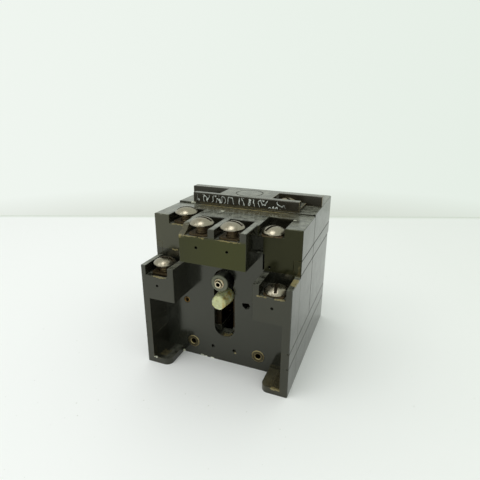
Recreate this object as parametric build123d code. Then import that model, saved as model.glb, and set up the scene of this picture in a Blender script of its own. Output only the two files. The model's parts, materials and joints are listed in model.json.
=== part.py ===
"""Enclosed multi-pole knife blade switch block, one STEP file for each sub-part.

Millimetres. The origin is the centre of the underside: +X is to the right seen from the front,
+Y runs to the back and +Z is up. A spring-loaded carriage of blades slides down to close.
"""
import os

from build123d import *

# ---- overall envelope -------------------------------------------------------------------------
WIDTH = 64.0
HALF = WIDTH / 2
FRONT = -35.2            # front of the feet and of the lower terminal towers
BACK = 35.2              # back of the two upper layers
LOWER_BACK = 33.2        # back of the three lower layers
SEAM_Y = -2.0            # joint between the front and rear halves
PLATE_FRONT = -23.0      # face of the front plate and of the upper blocks
PLATE_BACK = -20.0
WALL = 3.2
INNER = HALF - WALL

# ---- heights of the stacked layers ------------------------------------------------------------
Z_FLOOR = 3.0
Z_BASE = 13.2
Z_WEB = 16.2
Z_LOWER_FRAME = 20.0
Z_DIAPHRAGM = 45.1
Z_LOWER = 47.1
Z_UPPER_FRAME = 53.1
Z_ROOF = 58.0
Z_TOP_FRONT = 65.3
Z_TOP_REAR = 66.0
Z_RIB = 70.5

# ---- feet, towers and middle block ------------------------------------------------------------
FOOT_INNER = 20.8
FOOT_HEIGHT = 2.8
TOWER_INNER = 16.8
TOWER_BOTTOM = 31.7
TOWER_TOP = 46.5
TOWER_POCKET = (19.4, 29.8)
TOWER_FLOOR = 42.2
BLOCK_HALF = 13.9
BLOCK_FRONT = -34.4
BLOCK_BOTTOM = 50.5
POCKET_HALF = 5.1
POCKET_FLOOR = 61.5
SKIRT_BACK = PLATE_BACK - 0.2
SKIRT_INNER = 17.3       # the skirt of the top housing stands each side of the plate's riser
RISER_HALF = 16.6        # raised middle of the front plate, behind the middle block
RISER_TOP = 54.1
NOTCH_TOP = 61.1         # top of the recess between each side terminal and the middle block
MIDDLE_POCKET_BACK = -18.6
SIDE_POCKET_BACK = -9.4
REAR_POCKET_FRONT = 19.8
EDGE = 0.5               # rounding of the moulded corners
SEAM = 0.3               # chamfer that lines each seam

# ---- poles and contacts -----------------------------------------------------------------------
POLES = (-19.8, -6.4, 6.4, 19.8)
MIDDLE_POLES = (-6.4, 6.4)
SIDE_POLES = (-19.8, 19.8)
AUX_X = 24.6
AUX_Y = -15.0
STRAP_HALF = 3.5
STRAP_T = 1.2
STRAP_PLAY = 0.1
LIP = 1.0                # moulded lip left in front of each strap
JAW_FRONT = -9.4
LOAD_JAW = 11.0
JAW_LENGTH = 8.0
JAW_BASE_T = 0.8
JAW_HEIGHT = 11.6
BLADE_T = 1.6
AUX_BLADE_T = 1.2
JAW_SLACK = 0.05
RIVET_OFFSET = 2.6
RIVET_R = 0.6
RIVET_HEAD_R = 0.9
RIVET_HEAD_T = 0.6

# ---- sliding carriage -------------------------------------------------------------------------
TRAVEL = 15.0
BAR_FRONT = 0.4
BAR_BACK = 9.4
BAR_BOTTOM = 41.0
BAR_TOP = 50.0
BAR_HALF = INNER - 0.06
BAR_MIDDLE = (BAR_FRONT + BAR_BACK) / 2
BLADE_BOTTOM = 35.0
BLADE_TOP = 44.8
ROD_R = 0.75
ROD_Z = 43.0
ARM_HALF = 2.2
BOSS_Z = 40.4
BOSS_R = 3.7
BOSS_FRONT = -27.8
EYELET_R = 2.1
EYELET_RIM_T = 0.35
EYELET_TUBE_R = 1.4
EYELET_BORE_R = 0.83
EYELET_FRONT = -29.2
EYELET_BACK = -21.0
TIP_Z = 32.0
TIP_R = 3.5
TIP_WAIST_R = 3.3        # slimmest part of the tip, in front of the plate
TIP_FACE_R = 2.4         # flat front of the tip
TIP_FRONT = -29.0
PIVOT_R = 1.5            # peg of the arm that the tip is pushed on
SPRING_X = 13.1
SPRING_R = 3.0
SPRING_WIRE_R = 0.45
SPRING_TURNS = 13
SEAT_R = 2.3

# ---- keyhole and holes of the front plate -----------------------------------------------------
KEYHOLE_R = 4.7
KEYHOLE_Z = 39.8
SLOT_R = 4.75
SLOT_TOP = 34.4
SLOT_BOTTOM = 17.45
INSERT_X = 15.5
INSERT_Z = 6.7
INSERT_R = 2.9
INSERT_BORE_R = 1.2
SMALL_INSERT_X = 18.0
SMALL_INSERT_Z = 27.3
SMALL_INSERT_R = 1.5
SMALL_INSERT_BORE_R = 0.8
WORN_OUTLINE = ((8.1, 30.9), (10.9, 31.2), (11.7, 30.0), (11.0, 28.6), (9.9, 28.2), (8.3, 29.4))
WORN_ROUND = 0.45

# ---- screws -----------------------------------------------------------------------------------
HEAD_R = 4.75
HEAD_EDGE = 0.6
HEAD_HEIGHT = 2.5
SHANK_R = 2.35
SHANK_HOLE_R = 2.45
THREAD_DEPTH = 0.28
THREAD_PITCH = 0.9
STACK_SCREWS = ((-26.0, -5.5), (26.0, -5.5), (-26.0, 24.0), (26.0, 24.0))
STACK_R = 1.5
STACK_HOLE_R = 1.6
STACK_HEAD_R = 2.8
PILLAR_HALF = 2.6
BRIDGE_HOLES = ((-17.7, 6.0), (17.7, 6.0))     # only the right-hand one still has its screw
BRIDGE_WEB_TOP = 67.2

# x, y, underside of the head and turn of the slot, as the terminals were last left
LINE_SCREWS = ((-19.8, -17.0, 65.2, 28), (-6.4, -28.8, 65.3, 5), (6.4, -28.8, 65.1, -3),
               (19.8, -19.9, 62.3, 55))
AUX_SCREWS = ((-24.6, -28.4, 45.8, 8), (24.6, -30.0, 42.85, 100))
LOAD_SCREWS = ((-19.8, 28.9, 62.9, 20), (-6.4, 28.9, 62.6, 95), (6.4, 28.9, 63.0, 140),
               (19.8, 28.9, 62.7, 60))
CLAMP_HALF = 4.1
CLAMP_T = 0.6


# ---- small helpers ----------------------------------------------------------------------------
def block(x, y, z):
    """A box between three (low, high) pairs."""
    size = [high - low for low, high in (x, y, z)]
    middle = [(high + low) / 2 for low, high in (x, y, z)]
    return Pos(*middle) * Box(*size)


def post(x, y, z, radius):
    """An upright cylinder between two heights."""
    return Pos(x, y, (z[0] + z[1]) / 2) * Cylinder(radius, z[1] - z[0])


def peg(x, y, z, radius):
    """A cylinder along Y between two depths."""
    return Pos(x, (y[0] + y[1]) / 2, z) * Rot(90, 0, 0) * Cylinder(radius, y[1] - y[0])


def both_sides(shape):
    """The shape and its mirror image across the middle plane."""
    return shape + mirror(shape, about=Plane.YZ)


def around(middle, half):
    return (middle - half, middle + half)


def on_side_face(edge):
    return abs(abs(edge.center().X) - HALF) < 0.01


def line_seams(shape):
    """Chamfer every straight edge on the two side faces, so that the layers show as lines."""
    along = shape.edges().filter_by(Axis.Y).filter_by(on_side_face)
    upright = shape.edges().filter_by(Axis.Z).filter_by(on_side_face)
    return chamfer(along + upright, SEAM)


def soften_top(shape):
    """Break the edges round the highest face."""
    return chamfer(shape.faces().sort_by(Axis.Z)[-1].edges(), SEAM)


def pillars(z, rows):
    """Screw pillars on the side walls, with their clearance holes."""
    solid = None
    for x, y in rows:
        side = 1 if x > 0 else -1
        span = sorted((side * (abs(x) - PILLAR_HALF), side * INNER))
        pillar = block(span, around(y, PILLAR_HALF), z)
        solid = pillar if solid is None else solid + pillar
    return solid


def pillar_holes(z, rows, radius=STACK_HOLE_R):
    holes = None
    for x, y in rows:
        hole = post(x, y, z, radius)
        holes = hole if holes is None else holes + hole
    return holes


def side_walls(y, z):
    return both_sides(block((INNER, HALF), y, z))


FRONT_SCREWS = STACK_SCREWS[:2]
REAR_SCREWS = STACK_SCREWS[2:]


# ---- moulded layers ---------------------------------------------------------------------------
def make_base():
    body = block((-HALF, HALF), (PLATE_BACK, LOWER_BACK), (0, Z_BASE))
    body -= block((-INNER, INNER), (PLATE_BACK + WALL, LOWER_BACK - WALL), (Z_FLOOR, Z_BASE))
    body += side_walls((FRONT, PLATE_BACK), (0, Z_BASE))
    body += pillars((Z_FLOOR, Z_BASE), STACK_SCREWS)
    body -= pillar_holes((0, Z_BASE), STACK_SCREWS)
    body -= pillar_holes((0, Z_FLOOR - 0.3), STACK_SCREWS, STACK_HEAD_R + 0.2)
    body += both_sides(post(SPRING_X, BAR_MIDDLE, (Z_FLOOR, Z_FLOOR + 2), SEAT_R))
    for x in (-INSERT_X, INSERT_X):
        body -= peg(x, (PLATE_BACK, PLATE_BACK + WALL), INSERT_Z, INSERT_R)
    foot = block((FOOT_INNER, INNER), (FRONT, PLATE_FRONT), (0, FOOT_HEIGHT))
    toe = foot.edges().filter_by(Axis.Z).group_by(Axis.X)[0].sort_by(Axis.Y)[0]
    return line_seams(body) + both_sides(fillet(toe, 3.0))


def make_lower_frame():
    body = block((-HALF, HALF), (PLATE_BACK, LOWER_BACK), (Z_BASE, Z_LOWER_FRAME))
    body -= block((-INNER, INNER), (PLATE_BACK, LOWER_BACK - WALL), (Z_WEB, Z_LOWER_FRAME))
    body += side_walls((FRONT, PLATE_BACK), (Z_BASE, Z_LOWER_FRAME))
    body += pillars((Z_WEB, Z_LOWER_FRAME), STACK_SCREWS)
    body -= pillar_holes((Z_BASE, Z_LOWER_FRAME), STACK_SCREWS)
    body -= block(around(0, ARM_HALF + 0.5), (PLATE_BACK, BAR_FRONT + 0.4), (Z_BASE, Z_WEB))
    body -= both_sides(post(SPRING_X, BAR_MIDDLE, (Z_BASE, Z_WEB), SPRING_R + 1.2))
    stop = block((22.2, 25.2), (2, 8), (Z_WEB, BAR_BOTTOM - TRAVEL - 0.05))
    body += both_sides(stop)
    for x, y in rivet_places():
        body -= post(x, y, (Z_BASE, Z_WEB), RIVET_R)
        body -= post(x, y, (Z_BASE, Z_BASE + RIVET_HEAD_T), RIVET_HEAD_R + 0.3)
    return line_seams(body)


def make_lower_housing_front():
    walls = side_walls((PLATE_FRONT, SEAM_Y), (Z_LOWER_FRAME, Z_LOWER))
    walls += side_walls((FRONT, PLATE_FRONT), (Z_LOWER_FRAME, TOWER_TOP))
    body = walls + block((-INNER, INNER), (PLATE_BACK, SEAM_Y), (Z_DIAPHRAGM, Z_LOWER))
    body += pillars((Z_LOWER_FRAME, Z_DIAPHRAGM), FRONT_SCREWS)
    body -= pillar_holes((Z_LOWER_FRAME, Z_LOWER), FRONT_SCREWS)
    slot_half = STRAP_HALF + STRAP_PLAY
    for x in MIDDLE_POLES:
        leg = (PLATE_BACK, MIDDLE_POCKET_BACK + STRAP_PLAY)
        body -= block(around(x, slot_half), leg, (Z_DIAPHRAGM, Z_LOWER))
    for x in SIDE_POLES:
        leg = (SIDE_POCKET_BACK - STRAP_T - STRAP_PLAY, SIDE_POCKET_BACK + STRAP_PLAY)
        body -= block(around(x, slot_half), leg, (Z_DIAPHRAGM, Z_LOWER))
    body = line_seams(body) + both_sides(make_tower())
    pocket = block(TOWER_POCKET, (FRONT, PLATE_FRONT), (TOWER_FLOOR, TOWER_TOP))
    return body - both_sides(pocket)


def make_tower():
    """The right-hand lower terminal tower, inside the side wall."""
    body = block((TOWER_INNER, INNER), (FRONT, PLATE_FRONT), (TOWER_BOTTOM, TOWER_TOP))
    corner = body.edges().filter_by(Axis.Z).group_by(Axis.X)[0].sort_by(Axis.Y)[0]
    body = fillet(corner, EDGE)
    groove = around(AUX_X, STRAP_HALF + STRAP_PLAY)
    body -= block(groove, (FRONT + LIP, PLATE_FRONT), (TOWER_FLOOR - STRAP_T, TOWER_FLOOR))
    body -= post(AUX_X, -29.4, (TOWER_BOTTOM + 2, TOWER_FLOOR), SHANK_HOLE_R + 1.0)
    body -= peg(AUX_X, (FRONT, FRONT + 3), 38.1, 0.6)
    return body


def make_lower_housing_rear():
    body = side_walls((SEAM_Y, LOWER_BACK), (Z_LOWER_FRAME, Z_LOWER))
    body += block((-INNER, INNER), (LOWER_BACK - WALL, LOWER_BACK), (Z_LOWER_FRAME, Z_LOWER))
    body += block((-INNER, INNER), (LOAD_JAW + 0.2, LOWER_BACK - WALL), (Z_DIAPHRAGM, Z_LOWER))
    for guide in ((SEAM_Y + 0.6, BAR_FRONT - 0.06), (BAR_BACK + 0.06, LOAD_JAW + 0.2)):
        body += both_sides(block((INNER - 2, INNER), guide, (Z_LOWER_FRAME, Z_LOWER)))
    body += pillars((Z_LOWER_FRAME, Z_DIAPHRAGM), REAR_SCREWS)
    body -= pillar_holes((Z_LOWER_FRAME, Z_LOWER), REAR_SCREWS)
    leg = (REAR_POCKET_FRONT - STRAP_PLAY, REAR_POCKET_FRONT + STRAP_T + STRAP_PLAY)
    for x in POLES:
        body -= block(around(x, STRAP_HALF + STRAP_PLAY), leg, (Z_DIAPHRAGM, Z_LOWER))
    return line_seams(body)


def make_upper_frame_front():
    """Side walls joined by a web behind the front plate's riser and the skirt beside it."""
    z = (Z_LOWER, Z_UPPER_FRAME)
    body = side_walls((PLATE_FRONT, SEAM_Y), z)
    body += block((-INNER, INNER), (SKIRT_BACK, MIDDLE_POCKET_BACK + 1.6), z)
    for x in MIDDLE_POLES:
        leg = (SKIRT_BACK, MIDDLE_POCKET_BACK + STRAP_PLAY)
        body -= block(around(x, STRAP_HALF + STRAP_PLAY), leg, z)
    body += pillars(z, FRONT_SCREWS)
    body -= pillar_holes(z, FRONT_SCREWS)
    return line_seams(body)


def make_upper_frame_rear():
    z = (Z_LOWER, Z_UPPER_FRAME)
    body = side_walls((SEAM_Y, BACK), z)
    body += block((-INNER, INNER), (BACK - WALL, BACK), z)
    body += pillars(z, REAR_SCREWS)
    body -= pillar_holes(z, REAR_SCREWS)
    return line_seams(body)


def terminal_pocket(x, y, opening, leg):
    """Everything cut away for one upper terminal: pocket, strap groove and strap slot.

    y is the pocket's depth range, opening the depth range of the strap's groove and leg the
    depth range of the slot that its vertical leg drops through.
    """
    slot_half = STRAP_HALF + STRAP_PLAY
    cut = block(around(x, POCKET_HALF), y, (POCKET_FLOOR, Z_RIB))
    cut += block(around(x, slot_half), opening, (POCKET_FLOOR - STRAP_T, POCKET_FLOOR))
    return cut + block(around(x, slot_half), leg, (Z_ROOF, POCKET_FLOOR))


def broken_corner():
    """What has snapped off the front of the middle block's left wall."""
    crack = ((-34.9, 60.4), (-33.7, 61.9), (-31.6, 62.8), (-30.4, 64.3), (-28.4, 65.6))
    outline = Polyline((-36, 60.4), *crack, (-28.4, 67), (-36, 67), (-36, 60.4))
    across = make_face(Plane.YZ * outline)
    return Pos(-BLOCK_HALF - 0.5, 0, 0) * extrude(across, amount=3.0, dir=(1, 0, 0))


def make_top_housing_front():
    body = block((-HALF, HALF), (PLATE_FRONT, SEAM_Y), (Z_UPPER_FRAME, Z_TOP_FRONT))
    body = line_seams(body)
    skirt = block((SKIRT_INNER, INNER), (PLATE_FRONT, SKIRT_BACK), (Z_LOWER, Z_UPPER_FRAME))
    body += both_sides(skirt - peg(19.4, (PLATE_FRONT, SKIRT_BACK), 48.8, 0.6))
    body -= block(around(0, SKIRT_INNER), (PLATE_FRONT, SKIRT_BACK), (Z_UPPER_FRAME, RISER_TOP))
    middle = block(around(0, BLOCK_HALF), (BLOCK_FRONT, PLATE_FRONT), (BLOCK_BOTTOM, Z_TOP_FRONT))
    middle = fillet(middle.edges().filter_by(Axis.Z).group_by(Axis.Y)[0], EDGE)
    body += middle
    cavity = block((-INNER, INNER), (SKIRT_BACK, SEAM_Y), (Z_UPPER_FRAME, Z_ROOF))
    body -= cavity - pillars((Z_UPPER_FRAME, Z_ROOF), FRONT_SCREWS)
    body -= pillar_holes((Z_UPPER_FRAME, Z_ROOF), FRONT_SCREWS, STACK_R)
    for x in MIDDLE_POLES:
        leg = (MIDDLE_POCKET_BACK - STRAP_T - STRAP_PLAY, MIDDLE_POCKET_BACK)
        groove = (BLOCK_FRONT + LIP, MIDDLE_POCKET_BACK)
        body -= terminal_pocket(x, (BLOCK_FRONT, MIDDLE_POCKET_BACK), groove, leg)
        body -= post(x, LINE_SCREWS[1][1], (BLOCK_BOTTOM + 2, POCKET_FLOOR), SHANK_HOLE_R + 0.3)
        body -= peg(x, (BLOCK_FRONT, BLOCK_FRONT + 3), 57.2, 0.6)
    for x, y in (LINE_SCREWS[0][:2], LINE_SCREWS[3][:2]):
        leg = (SIDE_POCKET_BACK - STRAP_T - STRAP_PLAY, SIDE_POCKET_BACK)
        groove = (PLATE_FRONT + LIP, SIDE_POCKET_BACK)
        body -= terminal_pocket(x, (PLATE_FRONT, SIDE_POCKET_BACK), groove, leg)
        body -= post(x, y, (Z_UPPER_FRAME + 1, POCKET_FLOOR), SHANK_HOLE_R)
    body -= both_sides(block((BLOCK_HALF, BLOCK_HALF + 2.8), (PLATE_FRONT, PLATE_FRONT + 1.8),
                             (RISER_TOP, NOTCH_TOP)))
    return soften_top(body) - broken_corner()


def make_top_housing_rear():
    body = block((-HALF, HALF), (SEAM_Y, BACK), (Z_UPPER_FRAME, Z_TOP_REAR))
    body = line_seams(body)
    cavity = block((-INNER, INNER), (SEAM_Y, BACK - WALL), (Z_UPPER_FRAME, Z_ROOF))
    body -= cavity - pillars((Z_UPPER_FRAME, Z_ROOF), REAR_SCREWS)
    body -= pillar_holes((Z_UPPER_FRAME, Z_ROOF), REAR_SCREWS, STACK_R)
    body += both_sides(block((22.2, 25.2), (2, 8), (BAR_TOP + 0.05, Z_ROOF)))
    leg = (REAR_POCKET_FRONT, REAR_POCKET_FRONT + STRAP_T + STRAP_PLAY)
    for x, y, _, _ in LOAD_SCREWS:
        groove = (REAR_POCKET_FRONT, BACK - LIP)
        body -= terminal_pocket(x, (REAR_POCKET_FRONT, BACK), groove, leg)
        body -= post(x, y, (Z_ROOF, POCKET_FLOOR), SHANK_HOLE_R + 0.3)
    for x, y in BRIDGE_HOLES:
        body -= post(x, y, (Z_ROOF, Z_TOP_REAR), SHANK_HOLE_R)
    return soften_top(body)


def make_top_bridge():
    """Two ribs and the plateau between them, screwed down on the rear half."""
    front_rib = block((-24.4, 25.0), (SEAM_Y, 0.8), (Z_TOP_REAR, Z_RIB))
    rear_rib = block((-31.3, HALF), (11.0, 15.4), (Z_TOP_REAR, Z_RIB))
    plateau = block((-12.4, 12.4), (0.8, 11.0), (Z_TOP_REAR, Z_RIB))
    web = block((-24.4, 25.0), (0.8, 11.0), (Z_TOP_REAR, BRIDGE_WEB_TOP))
    body = front_rib + rear_rib + plateau + web
    ring = Cylinder(6.3, 0.3) - Cylinder(5.8, 0.3)
    body -= Pos(0, 5.9, Z_RIB - 0.15) * ring
    for x, y in BRIDGE_HOLES:
        body -= post(x, y, (Z_TOP_REAR, BRIDGE_WEB_TOP), SHANK_HOLE_R)
    rims = body.edges().filter_by(Axis.X).filter_by(lambda e: abs(e.center().Z - Z_RIB) < 0.01)
    return chamfer(rims, SEAM)


def keyhole():
    y = (PLATE_FRONT, PLATE_BACK)
    slot = block(around(0, SLOT_R), y, (SLOT_BOTTOM, SLOT_TOP))
    ends = peg(0, y, SLOT_BOTTOM, SLOT_R) + peg(0, y, SLOT_TOP, SLOT_R)
    return slot + ends + peg(0, y, KEYHOLE_Z, KEYHOLE_R)


def worn_hole():
    """The ragged hole that something has been forced through, right of the slot."""
    outline = Polyline(*WORN_OUTLINE, WORN_OUTLINE[0])
    face = make_face(Plane.XZ.offset(-PLATE_BACK) * outline)
    hole = extrude(face, amount=PLATE_BACK - PLATE_FRONT, dir=(0, -1, 0))
    return fillet(hole.edges().filter_by(Axis.Y), WORN_ROUND)


def make_front_plate():
    y = (PLATE_FRONT, PLATE_BACK)
    body = block((-INNER, INNER), y, (0, Z_LOWER)) - keyhole()
    body += block(around(0, RISER_HALF), (PLATE_FRONT, SKIRT_BACK), (Z_LOWER, RISER_TOP))
    for x in (-INSERT_X, INSERT_X):
        body -= peg(x, y, INSERT_Z, INSERT_R)
    for x in (-SMALL_INSERT_X, SMALL_INSERT_X):
        body -= peg(x, y, SMALL_INSERT_Z, SMALL_INSERT_R)
    for x, z in ((-5.7, 6.5), (4.4, 6.5)):
        body -= peg(x, y, z, 0.8)
    body -= worn_hole()
    for x in (-AUX_X, AUX_X):
        z = (TOWER_FLOOR - STRAP_T, TOWER_FLOOR)
        body -= block(around(x, STRAP_HALF), y, z)
    return body


# ---- straps, jaws and blades ------------------------------------------------------------------
def strap(x, lip_y, leg_y, foot_y, top, hole_y):
    """A bent strap: terminal at the top, leg down and foot on the web.

    leg_y and foot_y are (low, high) depth ranges; top is the upper face of the terminal.
    """
    across = around(x, STRAP_HALF)
    terminal = (min(lip_y, leg_y[0]), max(lip_y, leg_y[1]))
    body = block(across, terminal, (top - STRAP_T, top))
    body += block(across, leg_y, (Z_WEB, top))
    body += block(across, foot_y, (Z_WEB, Z_WEB + STRAP_T))
    return body - post(x, hole_y, (top - STRAP_T, top), SHANK_HOLE_R)


def make_line_strap(index):
    x, hole_y = LINE_SCREWS[index][:2]
    if x in MIDDLE_POLES:
        lip_y, leg_end = BLOCK_FRONT + LIP, MIDDLE_POCKET_BACK
    else:
        lip_y, leg_end = PLATE_FRONT + LIP, SIDE_POCKET_BACK
    foot = (leg_end - STRAP_T, JAW_FRONT + JAW_LENGTH)
    body = strap(x, lip_y, (leg_end - STRAP_T, leg_end), foot, POCKET_FLOOR, hole_y)
    return body - rivet_holes(x, JAW_FRONT + JAW_LENGTH / 2)


def make_load_strap(index):
    x, hole_y = LOAD_SCREWS[index][:2]
    leg = (REAR_POCKET_FRONT, REAR_POCKET_FRONT + STRAP_T)
    body = strap(x, BACK - LIP, leg, (LOAD_JAW, leg[1]), POCKET_FLOOR, hole_y)
    return body - rivet_holes(x, LOAD_JAW + JAW_LENGTH / 2)


def make_aux_strap(index):
    x, hole_y = AUX_SCREWS[index][:2]
    leg = (AUX_Y - 3.6, AUX_Y - 2.4)
    body = strap(x, FRONT + LIP, leg, (leg[0], AUX_Y + 2.4), TOWER_FLOOR, hole_y)
    return body - rivet_holes(x, AUX_Y)


def rivet_holes(x, y):
    z = (Z_WEB, Z_WEB + STRAP_T + JAW_BASE_T)
    return post(x - RIVET_OFFSET, y, z, RIVET_R) + post(x + RIVET_OFFSET, y, z, RIVET_R)


def jaw_centres():
    """Where the centre of each jaw stands, as (x, y)."""
    line = [(x, JAW_FRONT + JAW_LENGTH / 2) for x in POLES]
    load = [(x, LOAD_JAW + JAW_LENGTH / 2) for x in POLES]
    return line + load + [(-AUX_X, AUX_Y), (AUX_X, AUX_Y)]


def rivet_places():
    return [(x + side * RIVET_OFFSET, y) for x, y in jaw_centres() for side in (-1, 1)]


def jaw_leaf(slack, height):
    """Half of the jaw's section: one leaf with a flared mouth, as a closed outline."""
    gap = slack
    thick = 0.7
    flare = 0.8
    mouth = height - 2.0
    return Polyline((gap, 0), (gap + thick, 0), (gap + thick, mouth), (gap + thick + flare, height),
                    (gap + flare, height), (gap, mouth), (gap, 0))


def make_jaw(x, y, blade_t, length, base_y, along_x=False):
    """Spring jaw: a riveted base plate with two leaves that grip a blade."""
    leaf = make_face(jaw_leaf(blade_t / 2 + JAW_SLACK, JAW_HEIGHT - JAW_BASE_T))
    pair = Plane.XZ * (leaf + mirror(leaf, about=Plane.YZ))
    leaves = extrude(pair, amount=length / 2, both=True)
    if along_x:
        leaves = Rot(0, 0, 90) * leaves
    z = Z_WEB + STRAP_T
    leaves = Pos(x, y, z + JAW_BASE_T) * leaves
    base = block(around(x, STRAP_HALF), around(y, base_y / 2), (z, z + JAW_BASE_T))
    return leaves + base - rivet_holes(x, y)


def make_rivets():
    solids = []
    low = Z_BASE
    high = Z_WEB + STRAP_T + JAW_BASE_T
    for x, y in rivet_places():
        rivet = post(x, y, (low, high), RIVET_R)
        rivet += post(x, y, (high, high + RIVET_HEAD_T), RIVET_HEAD_R)
        rivet += post(x, y, (low, low + RIVET_HEAD_T), RIVET_HEAD_R)
        solids.append(rivet)
    return solids


def make_blade(x):
    body = block(around(x, BLADE_T / 2), (JAW_FRONT + 0.5, LOAD_JAW + JAW_LENGTH - 0.3),
                 (BLADE_BOTTOM, BLADE_TOP))
    ends = body.edges().filter_by(Axis.X).group_by(Axis.Z)[0]
    body = chamfer(ends, 1.5)
    edge = body.faces().sort_by(Axis.Z)[0].edges().filter_by(Axis.Y)
    body = chamfer(edge, 0.4)
    return body - Pos(x, BAR_MIDDLE, ROD_Z) * Rot(0, 90, 0) * Cylinder(ROD_R, BLADE_T)


# ---- carriage ---------------------------------------------------------------------------------
def rod_hole(half):
    return Pos(0, BAR_MIDDLE, ROD_Z) * Rot(0, 90, 0) * Cylinder(ROD_R, 2 * half)


def make_crossbar():
    y = (BAR_FRONT, BAR_BACK)
    body = block((-BAR_HALF, BAR_HALF), y, (BAR_BOTTOM, BAR_TOP))
    body -= block((-20.5, 20.5), around(BAR_MIDDLE, 2.8), (46.6, BAR_TOP))
    for x in POLES:
        body -= block(around(x, BLADE_T / 2), y, (BAR_BOTTOM, BLADE_TOP))
    body -= block(around(0, ARM_HALF), y, (BAR_BOTTOM, BLADE_TOP))
    body += both_sides(post(SPRING_X, BAR_MIDDLE, (BAR_BOTTOM - 2, BAR_BOTTOM), SEAT_R))
    return body - rod_hole(27.0)


def make_drive_arm():
    """Arm from the crossbar to the front plate, with the round boss that comes through it."""
    body = block(around(0, ARM_HALF), (PLATE_BACK, BAR_FRONT - 0.4), (30.0, 44.0))
    body += block(around(0, ARM_HALF), (BAR_FRONT - 0.4, BAR_BACK), (36.0, BLADE_TOP))
    body += peg(0, (BOSS_FRONT, PLATE_BACK), BOSS_Z, BOSS_R)
    body += peg(0, (PLATE_FRONT - 1, PLATE_BACK), TIP_Z, PIVOT_R)
    body = fillet(body.edges().filter_by(GeomType.CIRCLE).sort_by(Axis.Y)[0], 0.5)
    body -= peg(0, (BOSS_FRONT, EYELET_BACK), BOSS_Z, EYELET_R)
    body -= block(around(0, ARM_HALF), around(AUX_Y, AUX_BLADE_T / 2), (34.0, 38.6))
    return body - rod_hole(ARM_HALF)


def make_drive_eyelet():
    """Crimped eyelet: a rim let into the boss, round a tube that stands proud of it."""
    rim = (BOSS_FRONT - 0.2, BOSS_FRONT + 0.8)
    body = peg(0, (rim[0], EYELET_BACK), BOSS_Z, EYELET_R)
    body -= peg(0, rim, BOSS_Z, EYELET_R - EYELET_RIM_T)
    body += peg(0, (EYELET_FRONT, rim[1]), BOSS_Z, EYELET_TUBE_R)
    return body - peg(0, (EYELET_FRONT, EYELET_BACK), BOSS_Z, EYELET_BORE_R)


def make_drive_tip():
    """Blunt nylon tip: a turned form about the Y axis, pushed on the arm's peg."""
    length = PLATE_BACK - TIP_FRONT
    plate = PLATE_BACK - PLATE_FRONT
    shoulder = length - 1.0
    sides = Polyline((0, 0), (TIP_R, 0), (TIP_R, plate), (TIP_WAIST_R, plate + 3),
                     (TIP_WAIST_R, shoulder))
    nose = Spline((TIP_WAIST_R, shoulder), (TIP_WAIST_R - 0.15, length - 0.35), (TIP_FACE_R, length),
                  tangents=((0, 1), (-1, 0)))
    front = Polyline((TIP_FACE_R, length), (0, length), (0, 0))
    turned = revolve(make_face(sides + nose + front), Axis.Y, 360)
    body = Pos(0, PLATE_BACK, TIP_Z) * Rot(0, 0, 180) * turned
    body += peg(-0.2, (TIP_FRONT - 0.25, TIP_FRONT), TIP_Z - 1.1, 0.6)
    return body - peg(0, (PLATE_FRONT - 1, PLATE_BACK), TIP_Z, PIVOT_R)


def make_aux_blade():
    return block((-27.0, 27.0), around(AUX_Y, AUX_BLADE_T / 2), (34.0, 38.6))


def make_return_spring(side):
    """Coil spring from the floor of the base to the underside of the crossbar."""
    low = Z_FLOOR + SPRING_WIRE_R
    height = BAR_BOTTOM - Z_FLOOR - 2 * SPRING_WIRE_R
    path = Helix(pitch=height / SPRING_TURNS, height=height, radius=SPRING_R)
    section = Plane(origin=path @ 0, z_dir=path % 0) * Circle(SPRING_WIRE_R)
    return Pos(side * SPRING_X, BAR_MIDDLE, low) * sweep(section, path=path)


# ---- fasteners --------------------------------------------------------------------------------
def binding_screw(x, y, head_z, turn, length):
    """Slotted binding-head screw with a turned thread, its head resting at head_z."""
    rim = HEAD_R - 0.15
    dome = ThreePointArc((0, HEAD_HEIGHT), (rim * 0.62, HEAD_HEIGHT * 0.8), (rim, HEAD_EDGE))
    points = [(rim, HEAD_EDGE), (HEAD_R, HEAD_EDGE - 0.15), (HEAD_R, 0.1), (HEAD_R - 0.1, 0),
              (SHANK_R - THREAD_DEPTH, 0)]
    for ring in range(int(length / THREAD_PITCH)):
        crest = -THREAD_PITCH * (ring + 0.5)
        points += [(SHANK_R, crest), (SHANK_R - THREAD_DEPTH, crest - THREAD_PITCH / 2)]
    end = points[-1][1]
    points += [(0, end), (0, HEAD_HEIGHT)]
    outline = make_face(dome + Polyline(*points))
    body = revolve(Plane.XZ * outline, Axis.Z, 360)
    slot = Pos(0, 0, HEAD_HEIGHT) * Box(2 * HEAD_R + 1, 1.2, 2.6)
    return Pos(x, y, head_z) * Rot(0, 0, turn) * (body - slot)


def terminal_screws(rows, tip_z):
    return [binding_screw(x, y, head_z, turn, head_z - tip_z) for x, y, head_z, turn in rows]


def clamp_plates(rows, floor):
    plates = []
    for x, y, _, turn in rows:
        plate = Box(2 * CLAMP_HALF, 2 * CLAMP_HALF, CLAMP_T)
        plate = fillet(plate.edges().filter_by(Axis.Z), 1.0)
        plate -= Cylinder(SHANK_HOLE_R + 0.2, CLAMP_T)
        plates.append(Pos(x, y, floor + CLAMP_T / 2) * Rot(0, 0, (turn % 7) - 3) * plate)
    return plates


def make_stack_screws():
    screws = []
    for x, y in STACK_SCREWS:
        screw = post(x, y, (0.5, 2.7), STACK_HEAD_R) + post(x, y, (2.7, 57.0), STACK_R)
        screws.append(screw - block(around(x, 0.4), around(y, 3), (0.5, 1.5)))
    return screws


def make_bridge_screw():
    x, y = BRIDGE_HOLES[1]
    return binding_screw(x, y, BRIDGE_WEB_TOP, 130, BRIDGE_WEB_TOP - 60.5)


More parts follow.
